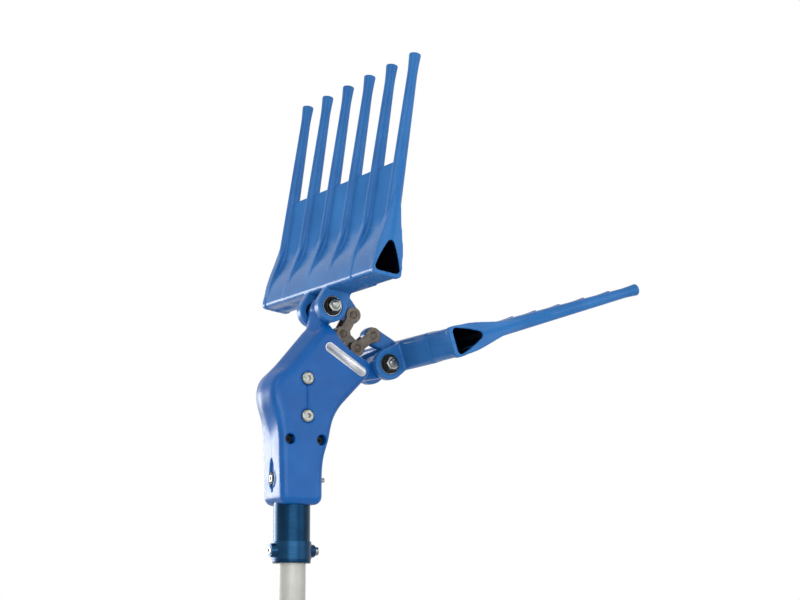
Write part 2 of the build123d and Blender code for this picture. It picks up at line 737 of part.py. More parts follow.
# Combs: hollow beam with proud bands, tines, webs, two ears and the lever finger in one moulding
finger_turn = radians(90 + comb_opening - lever_angle)
tine_places = [tine_pitch * (i - (tine_count - 1) / 2) for i in range(tine_count)]
gap_places = [place + tine_pitch / 2 for place in tine_places[:-1]]
gap_half = tine_pitch / 2 - tine_neck_radius
dip_radius = (gap_half**2 + web_sag**2) / (2 * web_sag)
comb_half_width = tine_places[-1] + lip_width
middle_half_width = tine_places[-2] + tine_neck_radius
hollow_depth = comb_half_width - hollow_stop / 2
for comb_name, comb_side in (("upper", 1), ("lower", -1)):
    comb_turn = head_tilt + comb_side * comb_opening - 90
    comb_axes = side_plane(pivots[comb_name], comb_turn)
    beam_origin = comb_axes.from_local_coords((comb_side * tine_offset, 0, 0))
    beam_axes = side_plane((beam_origin.X, beam_origin.Z), comb_turn)
    eye_place = (comb_side * lever_length * sin(finger_turn), lever_length * cos(finger_turn))
    finger_root = (comb_side * (tine_offset + finger_root_radius), beam_base + finger_root_radius)
    with BuildPart() as comb:
        for half_length, proud in ((tine_places[-1], 0), (middle_half_width, band_step)):
            with BuildSketch(behind(beam_axes, half_length)):
                add(beam_section(proud))
            extrude(amount=2 * half_length)
        for lip_back in (comb_half_width, tine_places[0]):
            with BuildSketch(behind(beam_axes, lip_back)):
                add(lip_section.sketch)
            extrude(amount=lip_width)
        with BuildSketch(Plane(beam_axes.origin, x_dir=(0, 1, 0), z_dir=beam_axes.x_dir)):
            with Locations(*[(place, web_reach - web_sag + dip_radius) for place in gap_places]):
                Circle(dip_radius)
        extrude(amount=web_thickness, both=True, mode=Mode.SUBTRACT)
        for place in tine_places:
            tine_axes = behind(beam_axes, place)
            with BuildSketch(tine_axes):
                add(tine_section.sketch)
            revolve(axis=Axis(tine_axes.origin, tine_axes.y_dir))
        for ear_back in (ear_outer, -ear_inner):
            with BuildSketch(behind(comb_axes, ear_back)):
                Circle(ear_radius)
                with Locations((comb_side * tine_offset, beam_base + beam_wall / 2)):
                    Rectangle(2 * beam_half_width - beam_wall, beam_wall)
                make_hull()
            extrude(amount=ear_thickness)
        with BuildSketch(behind(comb_axes, finger_half)):
            with Locations(eye_place):
                Circle(finger_eye_radius)
            with Locations(finger_root):
                Circle(finger_root_radius)
            make_hull()
        extrude(amount=2 * finger_half)
        for hollow_back in (comb_half_width, hollow_depth - comb_half_width):
            with BuildSketch(behind(beam_axes, hollow_back)):
                add(beam_hollow.sketch)
            extrude(amount=hollow_depth, mode=Mode.SUBTRACT)
        with BuildSketch(behind(comb_axes, finger_half)):
            with Locations(eye_place):
                Circle(pin_radius + running_fit)
        extrude(amount=2 * finger_half, mode=Mode.SUBTRACT)
        with BuildSketch(behind(comb_axes, ear_outer)):
            Circle(bearing_radius - bearing_ring)
        extrude(amount=2 * ear_outer, mode=Mode.SUBTRACT)
        for seat_back in (ear_outer, bearing_width - bearing_face):
            with BuildSketch(behind(comb_axes, seat_back)):
                Circle(bearing_radius)
            extrude(amount=bearing_width + bearing_inset, mode=Mode.SUBTRACT)
    save(comb, f"{comb_name}_comb")

    # Sealed ball bearings in the ears
    pivot_axes = side_plane(pivots[comb_name])
    for side_name, bearing_back in (("front", bearing_width - bearing_face), ("rear", bearing_face)):
        bearing_axes = behind(pivot_axes, bearing_back)
        with BuildPart() as bearing:
            with BuildSketch(bearing_axes):
                Circle(bearing_radius)
                Circle(pin_radius + running_fit, mode=Mode.SUBTRACT)
            extrude(amount=bearing_width)
            for seal_face, seal_way in ((bearing_axes, 1), (bearing_axes.offset(bearing_width), -1)):
                with BuildSketch(seal_face):
                    Circle(bearing_radius - bearing_ring)
                    Circle(pin_radius + bearing_ring, mode=Mode.SUBTRACT)
                extrude(amount=seal_way * seal_sunk, mode=Mode.SUBTRACT)
        save(bearing, f"{comb_name}_bearing_{side_name}")

    # Pivot bolt with its head at the rear, its nut at the front and a washer under each
    with BuildPart() as pivot_bolt:
        with BuildSketch(behind(pivot_axes, clamp_face)):
            Circle(pin_radius)
        extrude(amount=2 * clamp_face + nut_height + bolt_end_proud)
        with BuildSketch(behind(pivot_axes, clamp_face + bolt_head_height)):
            RegularPolygon(nut_across_flats / sqrt(3), 6)
        extrude(amount=bolt_head_height)
    save(pivot_bolt, f"{comb_name}_pivot_bolt")
    with BuildPart() as pivot_nut:
        with BuildSketch(behind(pivot_axes, -clamp_face)):
            RegularPolygon(nut_across_flats / sqrt(3), 6)
            Circle(pin_radius, mode=Mode.SUBTRACT)
        extrude(amount=nut_height)
    save(pivot_nut, f"{comb_name}_pivot_nut")
    for side_name, washer_back in (("front", -washer_face), ("rear", clamp_face)):
        with BuildPart() as washer:
            with BuildSketch(behind(pivot_axes, washer_back)):
                Circle(washer_radius)
                Circle(pin_radius, mode=Mode.SUBTRACT)
            extrude(amount=washer_thickness)
        save(washer, f"{comb_name}_washer_{side_name}")

    # Chain-type link: two waisted plates on riveted pins
    lever_pin = (-comb_side * lever_across, lever_along)
    cross_pin = (-comb_side * link_pin_across, crosshead_along)
    link_mid = ((lever_pin[0] + cross_pin[0]) / 2, (lever_pin[1] + cross_pin[1]) / 2)
    link_turn = degrees(atan((lever_pin[0] - cross_pin[0]) / (cross_pin[1] - lever_pin[1]))) + 90
    for side_name, plate_back in (("front", -link_inner), ("rear", link_outer)):
        with BuildPart() as link_plate:
            with BuildSketch(behind(head, plate_back)):
                with Locations(lever_pin, cross_pin):
                    Circle(link_lobe_radius)
                with Locations(link_mid):
                    Rectangle(link_pitch, link_waist, rotation=link_turn)
                with Locations(lever_pin, cross_pin):
                    Circle(pin_radius, mode=Mode.SUBTRACT)
            extrude(amount=link_thickness)
        save(link_plate, f"{comb_name}_link_plate_{side_name}")
    for pin_name, pin_place in (("lever", lever_pin), ("crosshead", cross_pin)):
        with BuildPart() as link_pin:
            with BuildSketch(behind(head, link_outer + rivet_proud)):
                with Locations(pin_place):
                    Circle(pin_radius)
            extrude(amount=2 * (link_outer + rivet_proud))
            chamfer(link_pin.edges(), rivet_proud / 2)
        save(link_pin, f"{comb_name}_link_pin_{pin_name}")

# Crosshead: a tee with an eye for each link, a round stem and a fork for the connecting rod
cross_pins = ((-link_pin_across, crosshead_along), (link_pin_across, crosshead_along))
stem_axes = Plane(origin=head.from_local_coords((0, crosshead_along, 0)), z_dir=head.y_dir * -1)
with BuildPart() as crosshead:
    with BuildSketch(behind(head, finger_half)):
        with Locations(*cross_pins):
            Circle(crosshead_eye_radius)
        with Locations((0, crosshead_along)):
            Rectangle(2 * link_pin_across, crosshead_bar)
    extrude(amount=2 * finger_half)
    with BuildSketch(stem_axes):
        Circle(stem_radius)
    extrude(amount=crosshead_along - fork_top)
    with BuildSketch(behind(head, fork_half)):
        with Locations((0, fork_top - fork_length / 2)):
            Rectangle(fork_width, fork_length)
    extrude(amount=2 * fork_half)
    with BuildSketch(behind(head, con_rod_half + moving_gap)):
        with Locations((0, fork_top - fork_bridge - fork_length / 2)):
            Rectangle(2 * fork_width, fork_length)
    extrude(amount=2 * (con_rod_half + moving_gap), mode=Mode.SUBTRACT)
    with BuildSketch(behind(head, fork_half)):
        with Locations((0, wrist_along)):
            Circle(wrist_pin_radius)
    extrude(amount=2 * fork_half, mode=Mode.SUBTRACT)
    with BuildSketch(behind(head, finger_half)):
        with Locations(*cross_pins):
            Circle(pin_radius + open_pin_room)
    extrude(amount=2 * finger_half, mode=Mode.SUBTRACT)
save(crosshead, "crosshead")

with BuildPart() as wrist_pin:
    with BuildSketch(behind(head, fork_half)):
        with Locations((0, wrist_along)):
            Circle(wrist_pin_radius)
    extrude(amount=2 * fork_half)
save(wrist_pin, "wrist_pin")

# Guide block that the crosshead's stem slides in, held between the housing's front and rear walls
with BuildPart() as stem_guide:
    with BuildSketch(behind(head, cavity_depth)):
        with Locations((0, (guide_top + guide_bottom) / 2)):
            Rectangle(guide_width, guide_length)
    extrude(amount=2 * cavity_depth)
    with BuildSketch(stem_axes):
        Circle(stem_radius + running_fit)
    extrude(amount=crosshead_along - fork_top, mode=Mode.SUBTRACT)
save(stem_guide, "stem_guide")

# Connecting rod, and the crank pin that turns in its big eye
crank_pin_place = (0, crank_pin_along)
with BuildPart() as con_rod:
    with BuildSketch(behind(head, con_rod_half)):
        with Locations((0, wrist_along), crank_pin_place):
            Circle(con_rod_eye_radius)
        with Locations((0, (wrist_along + crank_pin_along) / 2)):
            Rectangle(con_rod_waist, con_rod_length)
        with Locations((0, wrist_along)):
            Circle(wrist_pin_radius + running_fit, mode=Mode.SUBTRACT)
        with Locations(crank_pin_place):
            Circle(pin_radius, mode=Mode.SUBTRACT)
    extrude(amount=2 * con_rod_half)
save(con_rod, "con_rod")

with BuildPart() as crank_pin:
    with BuildSketch(behind(head, gear_front - moving_gap)):
        with Locations(crank_pin_place):
            Circle(pin_radius)
    extrude(amount=gear_front - moving_gap + con_rod_half + rivet_proud)
save(crank_pin, "crank_pin")

# Crank gear and pinion: blanks on the pitch cones with a tapering gap cut between each two teeth
gear_section = Plane(origin=(0, 0, crank_z), x_dir=(0, 0, -1), z_dir=(1, 0, 0))


def tooth_gap(towards_gear):
    """Wedge between two teeth: one trapezium at each end of the face, tapering to the cones' apex."""
    low, high = (-dedendum, 2 * addendum) if towards_gear else (-2 * addendum, dedendum)
    widen = tan(radians(pressure_angle)) * (1 if towards_gear else -1)
    with BuildPart() as wedge:
        for length in (cone_inner * 0.9, cone_length * 1.1):
            centre = (0, length * sin(cone_angle), crank_z - length * cos(cone_angle))
            along = (0, sin(cone_angle), -cos(cone_angle))
            scale_here = length / cone_length
            corners = [
                (side * (tooth_room * tooth_pitch / 2 + widen * lift) * scale_here, lift * scale_here)
                for side, lift in ((-1, low), (1, low), (1, high), (-1, high))
            ]
            with BuildSketch(Plane(origin=centre, x_dir=(1, 0, 0), z_dir=along)):
                with BuildLine():
                    Polyline(*corners, close=True)
                make_face()
        loft()
    return wedge.part


with BuildPart() as crank_gear:
    with BuildSketch(gear_section):
        with BuildLine():
            Polyline(
                (pin_radius, gear_front),
                (on_cone(cone_inner, -dedendum)[0], gear_front),
                on_cone(cone_inner, addendum),
                on_cone(cone_length, addendum),
                on_cone(cone_length, -2 * dedendum),
                (gear_pitch_radius - 2 * addendum, gear_back),
                (pin_radius, gear_back),
                close=True,
            )
        make_face()
    crank_axis = Axis((0, 0, crank_z), (0, 1, 0))
    revolve(axis=crank_axis)
    gear_gap = tooth_gap(True)
    for tooth in range(gear_teeth):
        add(gear_gap.rotate(crank_axis, 360 * tooth / gear_teeth), mode=Mode.SUBTRACT)
save(crank_gear, "crank_gear")

with BuildPart() as crank_shaft:
    with BuildSketch(behind(crank, cavity_depth - moving_gap)):
        Circle(pin_radius)
    extrude(amount=cavity_depth - moving_gap - gear_front)
save(crank_shaft, "crank_shaft")

with BuildPart() as crank_bearing:
    with BuildSketch(behind(crank, cavity_depth)):
        Circle(bearing_radius)
        Circle(pin_radius + running_fit, mode=Mode.SUBTRACT)
    extrude(amount=bearing_width)
save(crank_bearing, "crank_bearing")

# Motor on the pole's axis, its shaft and the pinion
shaft_bottom = motor_bottom + motor_floor + moving_gap
shaft_end = crank_z - cone_inner * cos(cone_angle)
with BuildPart() as motor_can:
    with BuildSketch(Plane.XY.offset(motor_bottom)):
        Circle(collar_radius)
    extrude(amount=motor_length)
    chamfer(motor_can.edges(), motor_chamfer)
    with BuildSketch(Plane.XY.offset(motor_top)):
        Circle(motor_neck_radius)
    extrude(amount=motor_neck)
    with BuildSketch(Plane.XY.offset(motor_bottom + motor_floor)):
        Circle(motor_shaft_radius + running_fit)
    extrude(amount=motor_length, mode=Mode.SUBTRACT)
save(motor_can, "motor_can")

with BuildPart() as motor_shaft:
    with BuildSketch(Plane.XY.offset(shaft_bottom)):
        Circle(motor_shaft_radius)
    extrude(amount=shaft_end - shaft_bottom)
save(motor_shaft, "motor_shaft")

with BuildPart() as pinion:
    with BuildSketch(Plane.YZ):
        with BuildLine():
            inner_tip = on_cone(cone_inner, -addendum)
            outer_tip = on_cone(cone_length, -addendum)
            Polyline(
                (motor_shaft_radius, crank_z - inner_tip[0]),
                (inner_tip[1], crank_z - inner_tip[0]),
                (outer_tip[1], crank_z - outer_tip[0]),
                (outer_tip[1] - addendum, pinion_foot),
                (motor_shaft_radius, pinion_foot),
                close=True,
            )
        make_face()
    revolve(axis=Axis.Z)
    pinion_gap = tooth_gap(False)
    for tooth in range(pinion_teeth):
        add(pinion_gap.rotate(Axis.Z, 360 * (tooth + 0.5) / pinion_teeth), mode=Mode.SUBTRACT)
save(pinion, "pinion")
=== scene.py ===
import json
import math

import bmesh
import bpy
from mathutils import Matrix, Vector
from mathutils.geometry import interpolate_bezier


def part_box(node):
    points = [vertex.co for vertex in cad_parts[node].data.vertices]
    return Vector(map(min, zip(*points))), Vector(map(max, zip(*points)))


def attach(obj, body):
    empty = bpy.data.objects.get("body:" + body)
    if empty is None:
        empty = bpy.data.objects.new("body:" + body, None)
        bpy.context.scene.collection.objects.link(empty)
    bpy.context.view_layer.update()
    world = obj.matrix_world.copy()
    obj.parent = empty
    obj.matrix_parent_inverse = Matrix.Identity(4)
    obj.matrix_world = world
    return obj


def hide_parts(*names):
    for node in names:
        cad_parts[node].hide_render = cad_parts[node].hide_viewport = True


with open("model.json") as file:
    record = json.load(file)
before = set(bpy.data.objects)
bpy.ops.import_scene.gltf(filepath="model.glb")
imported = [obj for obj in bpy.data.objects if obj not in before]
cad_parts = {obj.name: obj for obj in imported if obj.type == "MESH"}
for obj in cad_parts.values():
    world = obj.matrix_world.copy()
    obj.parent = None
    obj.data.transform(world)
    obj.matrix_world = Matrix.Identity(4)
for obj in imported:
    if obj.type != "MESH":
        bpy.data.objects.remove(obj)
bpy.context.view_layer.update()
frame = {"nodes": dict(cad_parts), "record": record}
nodes = frame["nodes"]
slots = {row["node"]: row["material_slot"] for row in frame["record"]["subparts"]}
bodyOf = {node: body for body, members in frame["record"]["behaviour"]["bodies"].items() for node in members}
print("frame loaded,", len(nodes), "nodes")

perMetre = 1000     # sizes below are in millimetres, meshes in metres
mergeDist = 1e-6    # metres between points that are one
cutDist = 1e-7      # metres off a cutting plane that count as on it
allSmooth = 180     # degrees, no edge is sharper
sides = ("upper", "lower")
ends = ("front", "rear")
pureWhite = "#ffffff"


# sRGB hex code to the linear colour that a socket takes
def linear(code):
    parts = [int(code[i:i + 2], 16) / 255 for i in (1, 3, 5)]
    return tuple(p / 12.92 if p <= 0.04045 else ((p + 0.055) / 1.055) ** 2.4 for p in parts) + (1.0,)


# adds one node with its fixed values, links and settings
def addNode(tree, kind, values=None, links=None, **settings):
    node = tree.nodes.new(kind)
    for name, value in settings.items():
        setattr(node, name, value)
    for name, value in (values or {}).items():
        node.inputs[name].default_value = value
    for name, socket in (links or {}).items():
        tree.links.new(socket, node.inputs[name])
    return node


# texture scale for a feature of this size in millimetres
def perMm(size):
    return perMetre / size


def startMaterial(name):
    material = bpy.data.materials.new(name)
    material.use_nodes = True
    tree = material.node_tree
    tree.nodes.clear()
    return material, tree, addNode(tree, "ShaderNodeTexCoord").outputs["Object"]


# closes a material: colour, roughness and height go into one shader
def finishMaterial(tree, colour, roughness, height, bumpMm, **fixed):
    bump = addNode(tree, "ShaderNodeBump",
                   {"Strength": 1.0, "Distance": bumpMm / perMetre}, {"Height": height})
    shader = addNode(tree, "ShaderNodeBsdfPrincipled", fixed,
                     {"Base Color": colour, "Roughness": roughness, "Normal": bump.outputs["Normal"]})
    addNode(tree, "ShaderNodeOutputMaterial", None, {"Surface": shader.outputs["BSDF"]})


# two colours laid over a pattern
def tint(tree, pattern, low, high, start=0.3, end=0.7):
    ramp = addNode(tree, "ShaderNodeValToRGB", None, {"Fac": pattern})
    for element, position, code in zip(ramp.color_ramp.elements, (start, end), (low, high)):
        element.position = position
        element.color = linear(code)
    return ramp.outputs["Color"]


# polymer, moulded: cloudy depth, faint orange peel and dull rubbed patches
def mouldedPolymer(look):
    material, tree, place = startMaterial(look["name"])
    cloud = addNode(tree, "ShaderNodeTexNoise",
                    {"Scale": perMm(look["cloudMm"]), "Detail": 3.0}, {"Vector": place})
    rub = addNode(tree, "ShaderNodeTexNoise",
                  {"Scale": perMm(look["rubMm"]), "Detail": 6.0, "Roughness": 0.7}, {"Vector": place})
    peel = addNode(tree, "ShaderNodeTexNoise",
                   {"Scale": perMm(look["peelMm"]), "Detail": 2.0}, {"Vector": place})
    dull = addNode(tree, "ShaderNodeMapRange",
                   {"From Min": 0.35, "From Max": 0.7, "To Min": look["smooth"], "To Max": look["rough"]},
                   {"Value": rub.outputs["Fac"]})
    colour = tint(tree, cloud.outputs["Fac"], look["deep"], look["bright"])
    if "inside" in look:  # painted shade darkening the beam's hollow; the mix's inputs 0, 6 and 7 are share, first, second
        hollow = addNode(tree, "ShaderNodeAttribute", attribute_name="hollowShade")
        paintedShadeMix = addNode(tree, "ShaderNodeMix", {7: linear(look["inside"])},
                         {0: hollow.outputs["Fac"], 6: colour}, data_type="RGBA")
        colour = paintedShadeMix.outputs[2]
    roughness = dull.outputs["Result"]
    if "flatRough" in look:  # broad flats come duller out of the mould than edges and ribs
        flat = addNode(tree, "ShaderNodeAttribute", attribute_name="flatShade")
        matt = addNode(tree, "ShaderNodeMapRange", {"To Max": look["flatRough"]},
                       {"Value": flat.outputs["Fac"], "To Min": roughness})
        roughness = matt.outputs["Result"]
    finishMaterial(tree, colour, roughness, peel.outputs["Fac"], look["bumpMm"],
                   **{"IOR": look["ior"], "Specular IOR Level": look["gloss"]})
    return material


# metal, drawn, turned or plated: fine lines or grain along one axis, with a cloudy sheen
def workedMetal(look):
    material, tree, place = startMaterial(look["name"])
    along = addNode(tree, "ShaderNodeMapping",
                    {"Rotation": look.get("turn", (0, 0, 0)), "Scale": look["stretch"]}, {"Vector": place})
    lines = addNode(tree, "ShaderNodeTexNoise",
                    {"Scale": perMm(look["lineMm"]), "Detail": 4.0, "Roughness": 0.6},
                    {"Vector": along.outputs["Vector"]})
    cloud = addNode(tree, "ShaderNodeTexNoise",
                    {"Scale": perMm(look["cloudMm"]), "Detail": 4.0}, {"Vector": place})
    sheen = addNode(tree, "ShaderNodeMapRange",
                    {"From Min": 0.3, "From Max": 0.7, "To Min": look["smooth"], "To Max": look["rough"]},
                    {"Value": lines.outputs["Fac"]})
    colour = tint(tree, cloud.outputs["Fac"], look["deep"], look["bright"])
    finishMaterial(tree, colour, sheen.outputs["Result"], lines.outputs["Fac"], look["bumpMm"],
                   Metallic=look["metallic"])
    return material


even = (1.0, 1.0, 1.0)
alongPole = (1.0, 1.0, 0.02)     # lines run up the pole
roundPole = (0.05, 0.05, 1.0)    # turning rings, one above the other
alongPlate = (0.06, 1.0, 1.0)    # brushing along the label's length, once it is turned there
alongShafts = (1.0, 0.08, 1.0)   # milling lines run as the shafts do
finishes = {
    # polyamide of the two housing shells, injection moulded: satin gloss, cloudy where the mould was rough
    "housing_blue": mouldedPolymer({"name": "mouldedNylonHousing", "deep": "#04539b", "bright": "#0a5fab",
                                    "cloudMm": 34, "rubMm": 14, "peelMm": 2.6, "bumpMm": 0.012,
                                    "smooth": 0.26, "rough": 0.4, "ior": 1.53, "gloss": 0.25}),
    # the same polyamide on the combs, drier from brushing through leaves, with painted near-black shade
    # inside the beam's hollow
    "comb_blue": mouldedPolymer({"name": "mouldedNylonComb", "deep": "#2867a8", "bright": "#3374b7",
                                 "inside": "#060b1a", "cloudMm": 40, "rubMm": 12, "peelMm": 2.8,
                                 "bumpMm": 0.012, "smooth": 0.2, "rough": 0.3, "flatRough": 0.95,
                                 "ior": 1.53, "gloss": 0.16}),
    # nitrile rubber, moulded: matt black with a soft grey bloom
    "bush_black": mouldedPolymer({"name": "mouldedNitrileRubber", "deep": "#0b0b0c", "bright": "#151516",
                                  "cloudMm": 4, "rubMm": 2, "peelMm": 0.7, "bumpMm": 0.01,
                                  "smooth": 0.45, "rough": 0.6, "ior": 1.52, "gloss": 0.3}),
    # anodised aluminium sleeve, turned: dark petrol blue with close rings
    "collar_blue": workedMetal({"name": "anodisedAluminiumCollar", "deep": "#102941", "bright": "#14334e",
                                "stretch": roundPole, "lineMm": 0.7, "cloudMm": 25, "bumpMm": 0.01,
                                "smooth": 0.26, "rough": 0.36, "metallic": 1.0}),
    # drawn aluminium tube, matt anodised: pale warm grey with long draw lines
    "pole_aluminium": workedMetal({"name": "drawnAluminiumPole", "deep": "#abaca6", "bright": "#bbbcb6",
                                   "stretch": alongPole, "lineMm": 0.6, "cloudMm": 30, "bumpMm": 0.008,
                                   "smooth": 0.4, "rough": 0.55, "metallic": 0.35}),
    # rolled aluminium plate: silver, brushed along its length
    "label_silver": workedMetal({"name": "brushedAluminiumPlate", "deep": "#a4a7ad", "bright": "#c3c5c9",
                                 "stretch": alongPlate, "turn": (0.0, math.radians(-32.5), 0.0),
                                 "lineMm": 0.7, "cloudMm": 12, "bumpMm": 0.01,
                                 "smooth": 0.26, "rough": 0.46, "metallic": 0.8}),
    # bearing steel, ground: bright and even
    "bearing_steel": workedMetal({"name": "groundBearingSteel", "deep": "#a9abad", "bright": "#c4c6c8",
                                  "stretch": even, "lineMm": 0.6, "cloudMm": 6, "bumpMm": 0.003,
                                  "smooth": 0.16, "rough": 0.26, "metallic": 1.0}),
    # chain steel, hot oiled: grey-brown, greasy where it is handled
    "link_steel": workedMetal({"name": "oiledChainSteel", "deep": "#4c443d", "bright": "#6e655d",
                               "stretch": even, "lineMm": 1.1, "cloudMm": 7, "bumpMm": 0.02,
                               "smooth": 0.34, "rough": 0.56, "metallic": 0.6}),
    # painted steel motor can, dip coated
    "motor_case": workedMetal({"name": "paintedSteelMotor", "deep": "#3c3d40", "bright": "#48494c",
                               "stretch": even, "lineMm": 1.2, "cloudMm": 14, "bumpMm": 0.01,
                               "smooth": 0.35, "rough": 0.5, "metallic": 0.2}),
    # cut gear steel, milled and oiled
    "drive_steel": workedMetal({"name": "milledGearSteel", "deep": "#4a4846", "bright": "#615f5b",
                                "stretch": alongShafts, "lineMm": 0.8, "cloudMm": 9, "bumpMm": 0.01,
                                "smooth": 0.25, "rough": 0.4, "metallic": 1.0}),
    # zinc-plated steel: bright, faintly mottled passivation
    "zinc_steel": workedMetal({"name": "zincPlatedSteel", "deep": "#7a7c77", "bright": "#9c9e9a",
                               "stretch": even, "lineMm": 0.9, "cloudMm": 3.5, "bumpMm": 0.006,
                               "smooth": 0.17, "rough": 0.32, "metallic": 1.0}),
}
# black oxide on the case screws and the washers: almost no shine
blackOxide = workedMetal({"name": "blackOxideSteel", "deep": "#1b1b1d", "bright": "#28282a",
                          "stretch": even, "lineMm": 0.9, "cloudMm": 4, "bumpMm": 0.01,
                          "smooth": 0.35, "rough": 0.5, "metallic": 0.6})
# the clamp's halves: the collar's finish a little lighter
clampAnodised = workedMetal({"name": "anodisedAluminiumClamp", "deep": "#183754", "bright": "#1e4160",
                             "stretch": roundPole, "lineMm": 0.9, "cloudMm": 18, "bumpMm": 0.01,
                             "smooth": 0.26, "rough": 0.36, "metallic": 1.0})
ownFinish = {"clamp_front": clampAnodised, "clamp_rear": clampAnodised}
ownFinish.update({name: blackOxide for name in nodes if name.startswith("case_screw") or "washer" in name})


# a node's own finish where it has one, or else its slot's
def finishOf(nodeName):
    return ownFinish.get(nodeName, finishes[slots[nodeName]])


for nodeName, node in nodes.items():
    node.data.materials.clear()
    node.data.materials.append(finishOf(nodeName))
print("materials made,", len(finishes) + len({finish.name for finish in ownFinish.values()}))


# number held between 0 and 1
def held(value):
    return min(1.0, max(0.0, value))


# parts of one kind among the mixed parts that an operator gives back
def only(kind, parts):
    return [part for part in parts if isinstance(part, kind)]


# puts a finished mesh in the scene on its node's body, with that node's finish unless another is given
def addPiece(name, mesh, nodeName, replaced=True, slotName=None):
    slotName = slotName or slots[nodeName]
    mesh.materials.clear()
    mesh.materials.append(finishOf(nodeName) if slotName == slots[nodeName] else finishes[slotName])
    piece = bpy.data.objects.new(name, mesh)
    bpy.context.scene.collection.objects.link(piece)
    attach(piece, bodyOf[nodeName])
    if replaced:
        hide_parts(nodeName)
    return piece


# name of the piece that stands for a CAD node
def pieceName(nodeName, ending):
    first, *rest = nodeName.split("_")
    return first + "".join(word.capitalize() for word in rest) + ending


# copy of a CAD node with its loose triangles merged
def cadCopy(nodeName):
    copy = bmesh.new()
    copy.from_mesh(nodes[nodeName].data)
    bmesh.ops.remove_doubles(copy, verts=copy.verts, dist=mergeDist)
    return copy


# bmesh to mesh, smooth but for the edges sharper than the angle
def toMesh(shape, name, sharpAngle):
    mesh = bpy.data.meshes.new(name)
    shape.to_mesh(mesh)
    shape.free()
    mesh.shade_smooth()
    mesh.set_sharp_from_angle(angle=math.radians(sharpAngle))
    return mesh


# mesh under these modifiers, each with its settings, and with these vertex groups
def evaluated(name, mesh, *stages, **weights):
    rough = bpy.data.objects.new(name, mesh)
    bpy.context.scene.collection.objects.link(rough)
    for groupName, shares in weights.items():
        group = rough.vertex_groups.new(name=groupName)
        for index, share in enumerate(shares):
            group.add([index], share, "REPLACE")
    for kind, settings in stages:
        modifier = rough.modifiers.new(kind, kind)
        for key, value in settings.items():
            setattr(modifier, key, value)
    graph = bpy.context.evaluated_depsgraph_get()
    result = bpy.data.meshes.new_from_object(rough.evaluated_get(graph))
    bpy.data.objects.remove(rough)
    return result


# cuts off what lies beyond a plane and gives back the open rim
def cutOff(shape, point, outward):
    everything = shape.verts[:] + shape.edges[:] + shape.faces[:]
    cut = bmesh.ops.bisect_plane(shape, geom=everything, dist=cutDist, plane_co=point, plane_no=outward,
                                 clear_outer=True)
    return only(bmesh.types.BMEdge, cut["geom_cut"])


# middle of a CAD node's box
def middleOf(nodeName):
    low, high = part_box(nodeName)
    return (low + high) / 2


# combs: one moulding each, soft edged, hollow along the beam, the bars running out in ribs down its flanks
# in a comb's own millimetres X is across the plane of the bars, Y along the beam and Z up the bars
combLook = {
    "voxelMm": 1.0, "steps": 4, "share": 0.5, "kept": 0.42, "bars": 6, "pitchMm": 53.6,
    "web": {"thickMm": 2.9, "wideMm": 45.0, "highMm": 8.0, "topMm": 144.0},
    "bar": {"footMm": 58.0, "headMm": 250.0, "footRadiusMm": 6.6, "headRadiusMm": 4.2, "flattened": 1.3,
            "segments": 36},
    "rib": {"outerMm": ((15.4, 22.0), (18.2, 54.0), (8.6, 60.0), (2.0, 118.0)),
            "innerMm": ((15.2, 27.0), (15.6, 44.0), (3.0, 50.0), (0.5, 64.0)),
            "points": 16, "halfMm": 5.0, "endMm": 141.1},
    "hollow": {"floorMm": 21.0, "topMm": 60.0, "middleMm": 36.0, "halfMm": 15.2, "bulgeMm": 3.4,
               "rimMm": 139.5},
    "flat": {"fromMm": 1.6, "toMm": 3.2},
    "upper_comb": {"rootMm": (38.5, 392.0), "turn": 8.7},
    "lower_comb": {"rootMm": (100.5, 339.1), "turn": 72.3},
}


# webs end straight between the bars
def addWebs(shape, toWorld):
    web = combLook["web"]
    gaps = combLook["bars"] - 1
    for gap in range(gaps):
        aside = (gap - (gaps - 1) / 2) * combLook["pitchMm"]
        lifted = Matrix.Translation((0.0, aside, web["topMm"] - web["highMm"] / 2))
        sized = Matrix.Diagonal((web["thickMm"], web["wideMm"], web["highMm"], 1))
        bmesh.ops.create_cube(shape, size=1.0, matrix=toWorld @ (lifted @ sized))


# one rib on a flank: the outline between two sweeps, drawn out along the beam
def addRib(shape, toWorld, flank, low, high):
    rib = combLook["rib"]
    outline = []
    for sweep, order in (("outerMm", 1), ("innerMm", -1)):
        knots = [Vector((flank * across, low, along)) for across, along in rib[sweep]]
        outline += interpolate_bezier(*knots, rib["points"])[::order]
    face = shape.faces.new([shape.verts.new(toWorld @ point) for point in outline])
    drawn = bmesh.ops.extrude_face_region(shape, geom=[face])["geom"]
    wide = toWorld.to_3x3() @ Vector((0.0, high - low, 0.0))
    bmesh.ops.translate(shape, vec=wide, verts=only(bmesh.types.BMVert, drawn))


# bars a little deeper than wide, most of all at the foot, with ribs that are flush at the beam's ends
def addBars(shape, toWorld):
    bar = combLook["bar"]
    rib = combLook["rib"]
    last = combLook["bars"] - 1
    for count in range(combLook["bars"]):
        aside = (count - last / 2) * combLook["pitchMm"]
        lifted = Matrix.Translation((0.0, aside, (bar["footMm"] + bar["headMm"]) / 2))
        deepened = Matrix.Diagonal((bar["flattened"], 1, 1, 1))
        bmesh.ops.create_cone(shape, cap_ends=True, segments=bar["segments"], radius1=bar["footRadiusMm"],
                              radius2=bar["headRadiusMm"], depth=bar["headMm"] - bar["footMm"],
                              matrix=toWorld @ (lifted @ deepened))
        low = -rib["endMm"] if count == 0 else aside - rib["halfMm"]
        high = rib["endMm"] if count == last else aside + rib["halfMm"]
        for flank in (-1, 1):
            addRib(shape, toWorld, flank, low, high)
